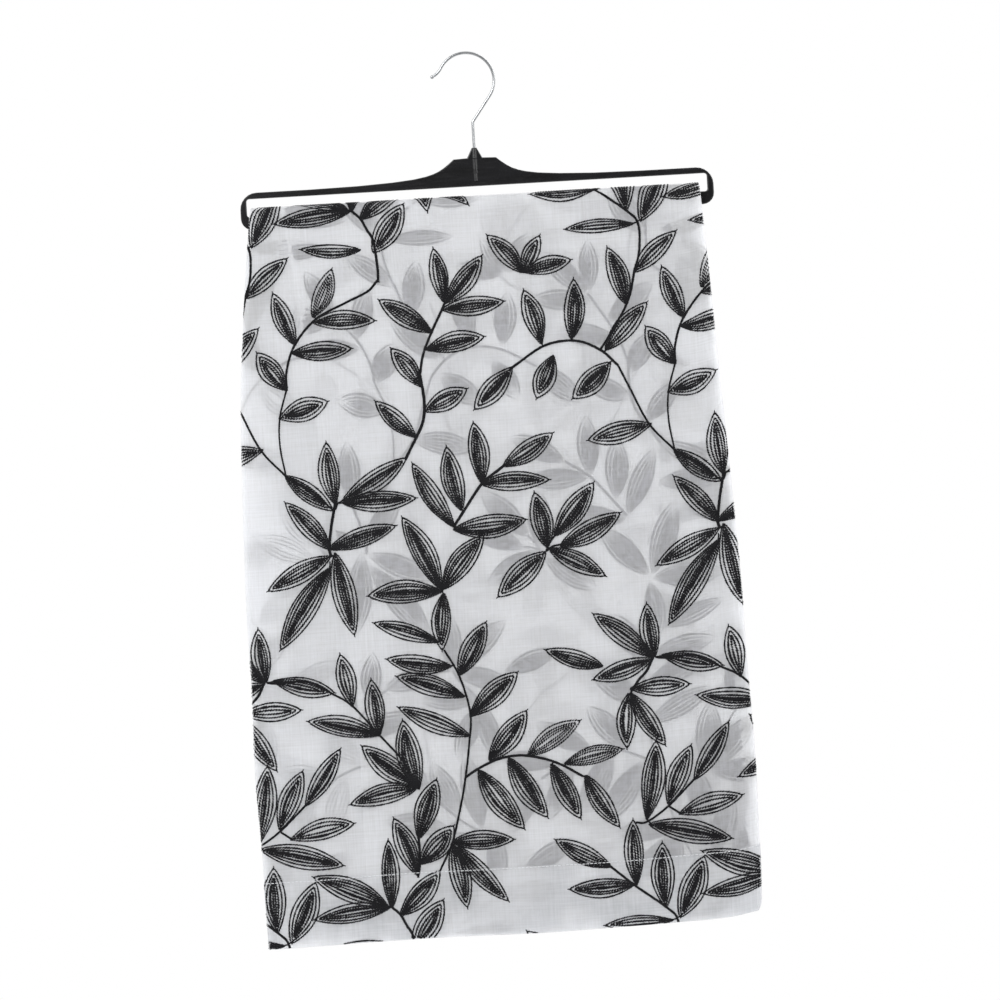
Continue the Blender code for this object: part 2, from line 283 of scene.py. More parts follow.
# ---------------------------------------------------------------- cloth course
def smooth(t):
    t = np.clip(t, 0.0, 1.0)
    return t * t * (3.0 - 2.0 * t)


def read_rows(rows, key, column):
    table = np.array(rows, float)
    xs, ys = table[:, 0], table[:, column]
    low = np.maximum(np.arange(len(xs)) - 1, 0)
    high = np.minimum(np.arange(len(xs)) + 1, len(xs) - 1)
    slope = (ys[high] - ys[low]) / (xs[high] - xs[low])
    key = np.clip(key, xs[0], xs[-1])
    i = np.clip(np.searchsorted(xs, key, side="right") - 1, 0, len(xs) - 2)
    span = xs[i + 1] - xs[i]
    t = (key - xs[i]) / span
    return (
        (2.0 * t**3 - 3.0 * t**2 + 1.0) * ys[i]
        + (t**3 - 2.0 * t**2 + t) * span * slope[i]
        + (3.0 * t**2 - 2.0 * t**3) * ys[i + 1]
        + (t**3 - t**2) * span * slope[i + 1]
    )


def swell(side, across, depth):
    total = np.zeros_like(depth)
    for row_side, row_across, row_depth, reach, out in SWELL_ROWS:
        if row_side == side:
            dx = (across - row_across) * 0.350
            dz = depth - row_depth
            total = total + out * np.exp(-(dx * dx + dz * dz) / (reach * reach))
    return total * smooth((depth - BAR_CENTRE) / 0.060)


def creases(side, x, depth):
    total = np.zeros_like(depth)
    for row_side, x1, d1, x2, d2, width, out in CREASE_ROWS:
        if row_side == side:
            run = np.array((x2 - x1, d2 - d1))
            long = float(np.hypot(*run))
            run /= long
            along = (x - x1) * run[0] + (depth - d1) * run[1]
            off = (x - x1) * run[1] - (depth - d1) * run[0]
            ends = smooth(along / 0.045) * smooth((long - along) / 0.045)
            total = total + out * ends * np.exp(-(off / width) ** 2)
    # the cloth's own slow waver between them
    total = total + 0.00016 * np.sin(x * 71.0 + 1.3 * np.sin(depth * 23.0)) * np.sin(depth * 37.0 + 0.8)
    total = total + 0.00010 * np.sin(x * 167.0 + depth * 55.0 + 2.0 * np.sin(depth * 41.0))
    return total * smooth((depth - BAR_CENTRE) / 0.040)


def drop_y(side, layer, across, x, depth):
    close = smooth((depth - BAR_CENTRE) / CLOSE_OVER)
    plain = BAR_RADIUS_IN + (HANG_IN - BAR_RADIUS_IN) * close
    wrinkle = creases(side, x, depth) * (1.0 if layer == 1 else 0.35)
    return plain + layer * DROP_PITCH + swell(side, across, depth) + wrinkle


def course(across, x, v):
    """Distance from the middle plane and depth, for v along the flat cloth
    from the lower edge of the front outer drop."""
    front = read_rows(LOWER_ROWS, across, 1)
    back = read_rows(LOWER_ROWS, across, 2)
    turn = DROP_PITCH / 2.0
    outer = BAR_RADIUS_IN + DROP_PITCH
    runs = [
        front - BAR_CENTRE,
        math.pi * outer + 0.0 * front,
        back - turn - BAR_CENTRE,
        math.pi * turn + 0.0 * front,
        back - turn - BAR_CENTRE,
        math.pi * BAR_RADIUS_IN + 0.0 * front,
    ]
    starts = np.cumsum([0.0 * front] + runs, axis=0)
    y = np.zeros_like(v)
    depth = np.zeros_like(v)
    for n in range(7):
        low = starts[n] if n else -1.0 + 0.0 * front
        high = starts[n + 1] if n < 6 else 99.0 + 0.0 * front
        m = (v >= low) & (v < high)
        if not m.any():
            continue
        t = (v - starts[n])[m]
        a, xx, f, b = across[m], x[m], front[m], back[m]
        if n == 0:
            d = f - t
            yy = -drop_y("front", 1, a, xx, d)
        elif n == 1:
            yy = -outer * np.cos(t / outer)
            d = BAR_CENTRE - outer * np.sin(t / outer)
        elif n == 2:
            d = BAR_CENTRE + t
            yy = drop_y("back", 1, a, xx, d)
        elif n == 3:
            middle = drop_y("back", 0.5, a, xx, b - turn)
            yy = middle + turn * np.cos(t / turn)
            d = b - turn + turn * np.sin(t / turn)
        elif n == 4:
            d = b - turn - t
            yy = drop_y("back", 0, a, xx, d)
        elif n == 5:
            angle = math.pi - t / BAR_RADIUS_IN
            yy = -BAR_RADIUS_IN * np.cos(angle)
            d = BAR_CENTRE - BAR_RADIUS_IN * np.sin(angle)
        else:
            room = (f - 0.003 - BAR_CENTRE) / (PANEL_LENGTH - starts[6][m])
            d = BAR_CENTRE + t * np.minimum(1.0, room)
            yy = -drop_y("front", 0, a, xx, d)
        y[m], depth[m] = yy, d
    return y, depth


def side_edges(depth):
    """Where the folds at the two sides lie. The lower right corner is rounded."""
    left = read_rows(EDGE_ROWS, depth, 1)
    right = read_rows(EDGE_ROWS, depth, 2)
    return left, right - 0.0046 * smooth((depth - 0.549) / 0.015) ** 2


RIGHT_TURN = LAYER / 2.0    # radius of the fold at the right side
LEFT_TURN = LAYER           # and of the wider one at the left


def across_fold(flat_x, depth):
    """Where flat_x, from the stem's line on the flat cloth, lies in the folded
    bundle: x, offset towards the face of the drop, and the way the cloth's
    face looks, as shares of the drop's face and of +X."""
    left, right = side_edges(depth)
    half_r, half_l = math.pi * RIGHT_TURN / 2.0, math.pi * LEFT_TURN / 2.0
    share = (flat_x - left) / (right - left)
    x = flat_x + share * (half_r - RIGHT_TURN) - (1.0 - share) * (half_l - LEFT_TURN)
    offset = np.full_like(x, LAYER)
    face, side = np.ones_like(x), np.zeros_like(x)

    m = np.abs(flat_x - right) <= half_r
    a = (flat_x - right)[m] / RIGHT_TURN
    x[m] = right[m] - RIGHT_TURN * (1.0 - np.cos(a))
    offset[m] = LAYER - RIGHT_TURN - RIGHT_TURN * np.sin(a)
    face[m], side[m] = -np.sin(a), np.cos(a)

    m = flat_x > right + half_r
    x[m] = (2.0 * right - flat_x)[m] + half_r - RIGHT_TURN
    offset[m], face[m] = LAYER - 2.0 * RIGHT_TURN, -1.0

    m = np.abs(flat_x - left) <= half_l
    a = (flat_x - left)[m] / LEFT_TURN
    x[m] = left[m] + LEFT_TURN * (1.0 - np.cos(a))
    offset[m] = LAYER - LEFT_TURN + LEFT_TURN * np.sin(a)
    face[m], side[m] = np.sin(a), -np.cos(a)

    m = flat_x < left - half_l
    x[m] = (2.0 * left - flat_x)[m] - half_l + LEFT_TURN
    offset[m], face[m] = LAYER - 2.0 * LEFT_TURN, -1.0
    return x, offset, face, side


def place(flat_x, v, high=0.0):
    """The place in the bundle of a point of the flat cloth, high above its face."""
    flat_x, v = np.broadcast_arrays(np.asarray(flat_x, float), np.asarray(v, float))
    flat_x, v = flat_x.ravel().copy(), v.ravel().copy()
    high = np.broadcast_to(np.asarray(high, float), flat_x.shape)
    under = v < 0.0                               # the turned-up hem
    high = np.where(under, high * -1.0 - 0.00024 * smooth(-v / 0.0005), high)
    v = np.abs(v)
    high = high + 0.00028 * smooth((HEM + 0.0006 - v) / 0.0016)
    x = np.where(flat_x > 0.172, 0.344 - flat_x, np.where(flat_x < -0.181, -0.362 - flat_x, flat_x))
    across = np.clip((x + 0.181) / 0.353, 0.0, 1.0)
    y, depth = course(across, x, v)
    left, right = side_edges(depth)
    x, offset, face, side = across_fold(flat_x, depth)
    across = np.clip((x - left) / (right - left), 0.0, 1.0)
    y, depth = course(across, x, v)
    y2, depth2 = course(across, x, v + 0.0001)
    run = np.hypot(y2 - y, depth2 - depth)
    ny, nz = (depth2 - depth) / run, (y2 - y) / run
    out = np.empty((len(x), 3))
    out[:, 0] = STEM_X + x + side * high
    out[:, 1] = y + ny * (offset + face * high)
    out[:, 2] = -SEAT_TO_HUB - depth + nz * (offset + face * high)
    return out


# ---------------------------------------------------------------- mesh helpers
def mesh_object(name, points, faces, material, smooth_faces=True):
    """A mesh object from arrays of points and of faces of one size."""
    mesh = bpy.data.meshes.new(name)
    faces = np.asarray(faces, np.int32)
    size = faces.shape[1]
    mesh.vertices.add(len(points))
    mesh.vertices.foreach_set("co", np.asarray(points, np.float32).ravel())
    mesh.loops.add(faces.size)
    mesh.loops.foreach_set("vertex_index", faces.ravel())
    mesh.polygons.add(len(faces))
    mesh.polygons.foreach_set("loop_start", np.arange(len(faces), dtype=np.int32) * size)
    mesh.polygons.foreach_set("use_smooth", np.full(len(faces), smooth_faces))
    mesh.update(calc_edges=True)
    mesh.validate()
    mesh.materials.append(material)
    made = bpy.data.objects.new(name, mesh)
    bpy.context.scene.collection.objects.link(made)
    return made


def set_flat_uv(obj, uv):
    layer = obj.data.uv_layers.new(name="flat")
    index = np.empty(len(obj.data.loops), np.int32)
    obj.data.loops.foreach_get("vertex_index", index)
    layer.data.foreach_set("uv", np.asarray(uv, np.float32)[index].ravel())


# ---------------------------------------------------------------- node helpers
def new_material(name):
    made = bpy.data.materials.new(name)
    made.use_nodes = True
    tree = made.node_tree
    tree.nodes.clear()
    out = tree.nodes.new("ShaderNodeOutputMaterial")
    shader = tree.nodes.new("ShaderNodeBsdfPrincipled")
    tree.links.new(shader.outputs[0], out.inputs["Surface"])
    return made, tree, shader


def noise(tree, vector, scale, detail=2.0, roughness=0.5):
    node = tree.nodes.new("ShaderNodeTexNoise")
    node.inputs["Scale"].default_value = scale
    node.inputs["Detail"].default_value = detail
    node.inputs["Roughness"].default_value = roughness
    tree.links.new(vector, node.inputs["Vector"])
    return node.outputs["Fac"]


def stretched(tree, vector, scale):
    node = tree.nodes.new("ShaderNodeMapping")
    node.inputs["Scale"].default_value = scale
    tree.links.new(vector, node.inputs["Vector"])
    return node.outputs[0]


def ramp(tree, value, low, high, to_low, to_high):
    node = tree.nodes.new("ShaderNodeMapRange")
    node.inputs["From Min"].default_value = low
    node.inputs["From Max"].default_value = high
    node.inputs["To Min"].default_value = to_low
    node.inputs["To Max"].default_value = to_high
    tree.links.new(value, node.inputs["Value"])
    return node.outputs[0]


def maths(tree, kind, a, b):
    node = tree.nodes.new("ShaderNodeMath")
    node.operation = kind
    for socket, value in zip(node.inputs, (a, b)):
        if isinstance(value, (int, float)):
            socket.default_value = value
        else:
            tree.links.new(value, socket)
    return node.outputs[0]


def blend(tree, share, a, b):
    node = tree.nodes.new("ShaderNodeMix")
    node.data_type = "RGBA"
    tree.links.new(share, node.inputs["Factor"])
    colours = [s for s in node.inputs if s.type == "RGBA"]
    for socket, value in zip(colours, (a, b)):
        if isinstance(value, tuple):
            socket.default_value = (*value, 1.0)
        else:
            tree.links.new(value, socket)
    return [s for s in node.outputs if s.type == "RGBA"][0]


def bump(tree, shader, height, strength, distance):
    node = tree.nodes.new("ShaderNodeBump")
    node.inputs["Strength"].default_value = strength
    node.inputs["Distance"].default_value = distance
    tree.links.new(height, node.inputs["Height"])
    tree.links.new(node.outputs[0], shader.inputs["Normal"])


# ---------------------------------------------------------------- materials
def voile_material():
    """Fine plain weave: slubby yarns that let more or less through, an even
    pale tone, and light that also passes through the cloth itself."""
    made, tree, shader = new_material("voile")
    uv = tree.nodes.new("ShaderNodeUVMap")
    uv.uv_map = "flat"
    flat = uv.outputs[0]
    warp = noise(tree, stretched(tree, flat, (900.0, 40.0, 1.0)), 1.0, 2.5, 0.6)
    weft = noise(tree, stretched(tree, flat, (36.0, 860.0, 1.0)), 1.0, 2.5, 0.6)
    thick_warp = noise(tree, stretched(tree, flat, (430.0, 13.0, 1.0)), 1.0, 1.5, 0.5)
    thick_weft = noise(tree, stretched(tree, flat, (11.0, 470.0, 1.0)), 1.0, 1.5, 0.5)
    cloud = noise(tree, stretched(tree, flat, (26.0, 26.0, 1.0)), 1.0, 3.0, 0.5)
    yarn = maths(tree, "ADD", warp, weft)
    slub = maths(tree, "ADD", thick_warp, thick_weft)
    both = maths(tree, "ADD", maths(tree, "MULTIPLY", yarn, 0.72), maths(tree, "MULTIPLY", slub, 0.28))
    alpha = ramp(tree, both, 0.70, 1.30, 0.48, 0.68)
    # yarns lie closer together where the cloth is folded sharply at the sides
    folded = tree.nodes.new("ShaderNodeAttribute")
    folded.attribute_name = "fold"
    alpha = maths(tree, "ADD", alpha, maths(tree, "MULTIPLY", folded.outputs["Fac"], 0.30))
    tone = maths(tree, "ADD", maths(tree, "MULTIPLY", both, 0.85), maths(tree, "MULTIPLY", cloud, 0.15))
    plain = blend(tree, ramp(tree, tone, 0.675, 1.175, 0.0, 1.0), (0.995, 0.997, 1.000), (0.890, 0.900, 0.926))
    # the turned-up edge is two layers thick and unevenly greyer
    split = tree.nodes.new("ShaderNodeSeparateXYZ")
    tree.links.new(flat, split.inputs[0])
    turned = ramp(tree, split.outputs["Y"], HEM - 0.0004, HEM + 0.0012, 1.0, 0.0)
    greyer = maths(tree, "MULTIPLY", turned, ramp(tree, cloud, 0.40, 0.58, 1.0, 0.0))
    colour = blend(tree, greyer, plain, (0.80, 0.81, 0.83))
    tree.links.new(colour, shader.inputs["Base Color"])
    tree.links.new(ramp(tree, both, 0.7, 1.3, 0.92, 0.78), shader.inputs["Roughness"])
    shader.inputs["Specular IOR Level"].default_value = 0.2
    bump(tree, shader, both, 0.10, 0.00016)
    through = tree.nodes.new("ShaderNodeBsdfTranslucent")
    tree.links.new(colour, through.inputs["Color"])
    body = tree.nodes.new("ShaderNodeMixShader")
    body.inputs[0].default_value = 0.48
    tree.links.new(shader.outputs[0], body.inputs[1])
    tree.links.new(through.outputs[0], body.inputs[2])
    clear = tree.nodes.new("ShaderNodeBsdfTransparent")
    whole = tree.nodes.new("ShaderNodeMixShader")
    tree.links.new(alpha, whole.inputs[0])
    tree.links.new(clear.outputs[0], whole.inputs[1])
    tree.links.new(body.outputs[0], whole.inputs[2])
    out = next(n for n in tree.nodes if n.type == "OUTPUT_MATERIAL")
    tree.links.new(whole.outputs[0], out.inputs["Surface"])
    return made


def thread_material(name, dark, pale, rough=(0.34, 0.62)):
    made, tree, shader = new_material(name)
    place_node = tree.nodes.new("ShaderNodeTexCoord")
    where = place_node.outputs["Object"]
    fine = noise(tree, stretched(tree, where, (2600.0, 2600.0, 2600.0)), 1.0, 2.0, 0.6)
    broad = noise(tree, stretched(tree, where, (240.0, 240.0, 240.0)), 1.0, 2.0, 0.5)
    both = maths(tree, "ADD", maths(tree, "MULTIPLY", fine, 0.6), maths(tree, "MULTIPLY", broad, 0.4))
    colour = blend(tree, ramp(tree, both, 0.35, 0.65, 0.0, 1.0), dark, pale)
    tree.links.new(colour, shader.inputs["Base Color"])
    tree.links.new(ramp(tree, both, 0.3, 0.7, rough[0], rough[1]), shader.inputs["Roughness"])
    shader.inputs["Specular IOR Level"].default_value = 0.12
    bump(tree, shader, fine, 0.4, 0.0001)
    return made


def reverse_material(name, fade):
    """Thread on the cloth's other side, broken up by the weave it lies behind,
    and paler by fade towards the left, where the layers lie less close."""
    made, tree, shader = new_material(name)
    where = tree.nodes.new("ShaderNodeTexCoord").outputs["Object"]
    upright = noise(tree, stretched(tree, where, (950.0, 950.0, 210.0)), 1.0, 2.0, 0.6)
    level = noise(tree, stretched(tree, where, (210.0, 210.0, 950.0)), 1.0, 2.0, 0.6)
    both = maths(tree, "MULTIPLY", maths(tree, "ADD", upright, level), 0.5)
    colour = blend(tree, ramp(tree, both, 0.44, 0.61, 0.0, 1.0), (0.003, 0.003, 0.008), (0.22, 0.22, 0.26))
    if fade > 0.0:
        split = tree.nodes.new("ShaderNodeSeparateXYZ")
        tree.links.new(where, split.inputs[0])
        colour = blend(tree, ramp(tree, split.outputs["X"], -0.13, 0.03, fade, 0.0), colour, (0.62, 0.63, 0.65))
    tree.links.new(colour, shader.inputs["Base Color"])
    tree.links.new(ramp(tree, both, 0.3, 0.7, 0.5, 0.8), shader.inputs["Roughness"])
    shader.inputs["Specular IOR Level"].default_value = 0.2
    bump(tree, shader, both, 0.3, 0.0001)
    return made


def plastic_material(name, shine):
    made, tree, shader = new_material(name)
    where = tree.nodes.new("ShaderNodeTexCoord").outputs["Object"]
    grain = noise(tree, stretched(tree, where, (1500.0, 1500.0, 1500.0)), 1.0, 3.0, 0.6)
    flow = noise(tree, stretched(tree, where, (22.0, 60.0, 160.0)), 1.0, 4.0, 0.55)
    scuff = noise(tree, stretched(tree, where, (90.0, 300.0, 900.0)), 1.0, 5.0, 0.65)
    colour = blend(tree, ramp(tree, flow, 0.35, 0.7, 0.0, 1.0), (0.003, 0.003, 0.0035), (0.008, 0.008, 0.0095))
    worn = blend(tree, ramp(tree, scuff, 0.62, 0.80, 0.0, 0.5), colour, (0.030, 0.030, 0.033))
    tree.links.new(worn, shader.inputs["Base Color"])
    shader.inputs["Specular IOR Level"].default_value = shine
    rough = maths(tree, "ADD", ramp(tree, grain, 0.3, 0.7, 0.26, 0.36), ramp(tree, scuff, 0.5, 0.8, 0.0, 0.18))
    tree.links.new(rough, shader.inputs["Roughness"])
    height = maths(tree, "ADD", maths(tree, "MULTIPLY", grain, 0.3), maths(tree, "MULTIPLY", flow, 0.7))
    bump(tree, shader, height, 0.25, 0.0002)
    return made


def steel_material():
    made, tree, shader = new_material("hook steel")
    where = tree.nodes.new("ShaderNodeTexCoord").outputs["Object"]
    drawn = noise(tree, stretched(tree, where, (420.0, 420.0, 40.0)), 1.0, 2.0, 0.5)
    broad = noise(tree, stretched(tree, where, (150.0, 150.0, 150.0)), 1.0, 3.0, 0.5)
    colour = blend(tree, ramp(tree, broad, 0.3, 0.7, 0.0, 1.0), (0.36, 0.37, 0.38), (0.46, 0.47, 0.48))
    tree.links.new(colour, shader.inputs["Base Color"])
    shader.inputs["Metallic"].default_value = 1.0
    tree.links.new(ramp(tree, drawn, 0.3, 0.7, 0.26, 0.33), shader.inputs["Roughness"])
    bump(tree, shader, drawn, 0.04, 0.00001)
    return made


def floor_material():
    made, tree, shader = new_material("studio floor")
    where = tree.nodes.new("ShaderNodeTexCoord").outputs["Object"]
    soft = noise(tree, stretched(tree, where, (3.0, 3.0, 3.0)), 1.0, 3.0, 0.5)
    colour = blend(tree, soft, (0.80, 0.80, 0.80), (0.84, 0.84, 0.84))
    tree.links.new(colour, shader.inputs["Base Color"])
    shader.inputs["Roughness"].default_value = 0.9
    return made


# ---------------------------------------------------------------- sheet
def spread(start, end, steps, closer_ends=False):
    t = np.linspace(0.0, 1.0, steps + 1)
    if closer_ends:
        t = (1.0 - np.cos(math.pi * t)) / 2.0 * 0.5 + t * 0.5
    return start + (end - start) * t


def make_sheet(material, quick):
    fine = 0.5 if quick else 1.0
    run = 0.5225
    turn_out = math.pi * (BAR_RADIUS_IN + DROP_PITCH)
    back = run + turn_out
    lower = back + run - DROP_PITCH / 2.0
    inner = lower + math.pi * DROP_PITCH / 2.0
    over = inner + run - DROP_PITCH / 2.0
    last = over + math.pi * BAR_RADIUS_IN
    rows = np.concatenate([
        spread(-HEM, -0.0006, 10)[:-1],
        np.array((-0.0006, -0.0003, 0.0, 0.0003, 0.0007)),
        spread(0.0015, run, int(130 * fine))[:-1],
        spread(run, back, 12)[:-1],
        spread(back, lower, int(124 * fine))[:-1],
        spread(lower, inner, 8)[:-1],
        spread(inner, over, 34)[:-1],
        spread(over, last, 10)[:-1],
        spread(last, PANEL_LENGTH, 34),
    ])
    front_steps, flap_steps = int(100 * fine), int(30 * fine)
    half_r, half_l = math.pi * RIGHT_TURN / 2.0, math.pi * LEFT_TURN / 2.0
    _, depth_l = course(np.zeros_like(rows), np.full_like(rows, -0.18), np.abs(rows))
    _, depth_r = course(np.ones_like(rows), np.full_like(rows, 0.17), np.abs(rows))
    left, right = side_edges(depth_l)[0], side_edges(depth_r)[1]
    columns = []
    for row in range(len(rows)):
        lo, hi = left[row], right[row]
        columns.append(np.concatenate([
            spread(-LEFT_PART, lo - half_l, flap_steps)[:-1],
            spread(lo - half_l, lo + half_l, 6)[:-1],
            spread(lo + half_l, hi - half_r, front_steps)[:-1],
            spread(hi - half_r, hi + half_r, 6)[:-1],
            spread(hi + half_r, PANEL_WIDTH - LEFT_PART, flap_steps),
        ]))
    flat_x = np.array(columns)
    count = flat_x.shape[1]
    v = np.repeat(rows[:, None], count, axis=1)
    points = place(flat_x, v)
    grid = np.arange(len(rows) * count).reshape(len(rows), count)
    faces = np.stack([grid[:-1, :-1], grid[:-1, 1:], grid[1:, 1:], grid[1:, :-1]], axis=-1).reshape(-1, 4)
    sheet = mesh_object("voile_sheet", points, faces, material)
    set_flat_uv(sheet, np.stack([flat_x.ravel() + LEFT_PART, v.ravel()], axis=1))
    near = np.minimum(np.abs(flat_x - left[:, None]) - half_l, np.abs(flat_x - right[:, None]) - half_r)
    fold = sheet.data.attributes.new("fold", "FLOAT", "POINT")
    fold.data.foreach_set("value", (1.0 - smooth(near / 0.002)).astype(np.float32).ravel())
    return sheet


# ---------------------------------------------------------------- embroidery
STITCH = np.array((
    # along, across, high
    (-0.50, -0.34, 0.0),
    (0.30, -0.50, 0.0),
    (0.50, 0.34, 0.0),
    (-0.30, 0.50, 0.0),
    (0.0, 0.0, 1.0),
))
STITCH_FACES = np.array(((0, 1, 4), (1, 2, 4), (2, 3, 4), (3, 0, 4), (0, 3, 1), (1, 3, 2)))


def profile(s, fullness=0.80, lean=1.04):
    return np.sin(math.pi * np.clip(s, 0.0, 1.0) ** lean) ** fullness


def leaf_lines(wide, kind, rng=None):
    """Rows of a leaf's threads: distance from its axis, and how far each
    starts and stops short of the leaf's own ends. The threads run in nested
    rings. A ring's two sides share its ends, and the rings lie open on the
    side that the kind names and close together on the other."""
    style, open_rings = kind.rstrip("+-0123456789"), int(kind[-1])
    side = -1.0 if "-" in kind else 1.0
    step = 1.70 if style == "net" else 1.95
    upper = lower = wide / 2.0 - 0.30
    tip, base, k = 0.0, 0.0, 0
    uneven = (lambda: 1.0) if rng is None else (lambda: 0.86 + 0.32 * rng.random())
    slack = -1 if rng is None else open_rings + rng.integers(1, 4)
    lines = []
    while upper + lower > 1.2:
        lines += [(side * upper, base, tip), (-side * lower, base, tip)]
        wide_gap = k < open_rings
        upper -= 2.65 if wide_gap else step * uneven() + (0.9 if k == slack else 0.0)
        lower -= 2.6 if wide_gap and style == "both" else step * uneven()
        tip += 3.4 if wide_gap else 2.6
        if style == "both":
            base += 2.4 if wide_gap else 1.9
        else:
            base += 1.1
        k += 1
    if upper + lower > -1.1:
        lines.append((side * (upper - lower) / 2.0, base + 1.0, tip + 1.5))
    return lines


def stitch_rows(xs, ys, pitch):
    """Even steps along a line: their middles and headings."""
    seg = np.hypot(np.diff(xs), np.diff(ys))
    at = np.concatenate([[0.0], np.cumsum(seg)])
    count = max(2, int(round(at[-1] / pitch)))
    want = (np.arange(count) + 0.5) / count * at[-1]
    mx, my = np.interp(want, at, xs), np.interp(want, at, ys)
    ax = np.interp(want + 0.05, at, xs) - np.interp(want - 0.05, at, xs)
    ay = np.interp(want + 0.05, at, ys) - np.interp(want - 0.05, at, ys)
    return mx, my, np.arctan2(ay, ax)


def leaf_stitches(row, rng, pitch=1.92):
    """Middle, heading, length and width of each stitch of a leaf, in mm."""
    _, x, up, heading, long, wide, kind = row
    out = []
    lean = 1.04 + 0.16 * (rng.random() - 0.5)
    bend = (rng.random() - 0.5) * 0.07 * long
    turn = math.radians(heading)
    s_line = np.linspace(0.0, 1.0, 25)
    net = kind.startswith("net")
    lines = leaf_lines(wide, kind, rng)
    core = len(lines) - rng.integers(1, 5)       # one of the inner threads lies thicker
    for number, (y, base, tip) in enumerate(lines):
        if long - tip - base < 6.0:
            continue
        lx = base - 0.8 + (long - tip - base + 0.8) * s_line
        ly = y * profile(s_line, 0.80, lean) + bend * np.sin(math.pi * np.clip(lx / long, 0.0, 1.0))
        mx, my, a = stitch_rows(lx, ly, pitch)
        n = len(mx)
        rim, second = number < 2, number in (2, 3)   # the outermost threads lie thinner and flatter
        tilt = math.radians(15.0 if rim else 22.0 if second else 28.0) + 0.20 * (rng.random(n) - 0.5)
        length = np.full(n, 2.2 if net else 2.42) * (0.88 + 0.24 * rng.random(n))
        width = np.full(n, 1.26 if net else 1.28 if rim else 1.42 if second else 1.66) * (0.80 + 0.40 * rng.random(n))
        if number == core and not net:
            width = width * (1.0 + 0.6 * np.exp(-((mx / long - 0.45) / 0.24) ** 2))
        out.append(np.stack([mx, my, a + tilt, length, width], axis=1))
    # the thread's last turn stands out at the tip, and a knot sits at the base
    out.append(np.array([
        (long + 0.7, 0.0, 0.0, 2.6, 0.9),
        (0.4, 0.0, 0.0, 2.8, 1.4),
    ]))
    made = np.concatenate(out)
    c, s = math.cos(turn), math.sin(turn)
    mx, my = made[:, 0].copy(), made[:, 1].copy()
    made[:, 0] = x + mx * c - my * s
    made[:, 1] = up + mx * s + my * c
    made[:, 2] += turn
    return made


def smooth_line(points, step=0.5):
    p = np.array(points, float)
    p = np.concatenate([[2 * p[0] - p[1]], p, [2 * p[-1] - p[-2]]])
    out = []
    for i in range(1, len(p) - 2):
        n = max(2, int(np.hypot(*(p[i + 1] - p[i])) / step))
        t = (np.arange(n) / n)[:, None]
        out.append(
            0.5 * ((2 * p[i]) + (-p[i - 1] + p[i + 1]) * t
                   + (2 * p[i - 1] - 5 * p[i] + 4 * p[i + 1] - p[i + 2]) * t**2
                   + (-p[i - 1] + 3 * p[i] - 3 * p[i + 1] + p[i + 2]) * t**3)
        )
    out.append(p[-2][None])
    return np.concatenate(out)


def stem_stitches(row, rng):
    thick, points = row[0], row[1:]
    line = smooth_line(points)
    out = []
    for side in (-1.0, 1.0):
        shift = side * thick * 0.26
        dx, dy = np.gradient(line[:, 0]), np.gradient(line[:, 1])
        run = np.hypot(dx, dy)
        mx, my, a = stitch_rows(line[:, 0] - dy / run * shift, line[:, 1] + dx / run * shift, 1.5)
        n = len(mx)
        out.append(np.stack([mx, my, a + 0.15 + 0.1 * side, np.full(n, 2.3), np.full(n, thick * 0.70) * (0.80 + 0.4 * rng.random(n))], axis=1))
    return np.concatenate(out)


def joint_stitches(rng):
    """Short threads that tie each leaf's foot to its stem or to its spray."""
    feet = np.array([row[1:3] for row in LEAF_ROWS], float)
    stems = np.concatenate([smooth_line(row[1:], 1.0) for row in STEM_ROWS])
    out = []
    for row, foot in zip(LEAF_ROWS, feet):
        gap = np.hypot(*(stems - foot).T)
        near = stems[gap.argmin()]
        if gap.min() > 6.0:
            near = feet[np.hypot(*(feet - foot).T) < 9.0].mean(axis=0)
        turn = math.radians(row[3])
        start = foot + 1.2 * np.array((math.cos(turn), math.sin(turn)))
        run = near - start
        far = float(np.hypot(*run))
        n = max(2, int(round(far / 0.9)))
        t = (np.arange(n + 1) / n)[:, None]
        spot = start + run * t + 0.25 * (rng.random((n + 1, 2)) - 0.5)
        heading = math.atan2(run[1], run[0])
        out.append(np.column_stack([spot, np.full(n + 1, heading) + 0.5 * (rng.random(n + 1) - 0.5), np.full(n + 1, 2.3), np.full(n + 1, 1.15)]))
    return np.concatenate(out)


def whole_pattern():
    """All stitches of one repeat: leaves, stems and the threads at their joints."""
    rng = np.random.default_rng(11)
    groups = [leaf_stitches(row, rng) for row in LEAF_ROWS]
    groups += [stem_stitches(row, rng) for row in STEM_ROWS]
    groups.append(joint_stitches(rng))
    return np.concatenate(groups)


def repeats(x, up, x_low, x_high, v_low, v_high):
    """Every copy of the pattern's places inside a stretch of the flat cloth.
    The cut passes just above the leaf that would lie on the lower right corner."""
    wide, tall = REPEAT_ACROSS / 1000.0, REPEAT_UP / 1000.0
    for i in range(math.floor((x_low - 0.35) / wide), math.ceil((x_high + 0.35) / wide) + 1):
        for j in range(math.floor((v_low - 0.55) / tall), math.ceil((v_high + 0.1) / tall) + 1):
            px, pv = x + i * wide, up + j * tall
            keep = (px > x_low) & (px < x_high) & (pv > v_low) & (pv < v_high)
            keep &= (px < 0.145) | (pv > 0.010)
            if keep.any():
                yield i, j, px, pv, keep


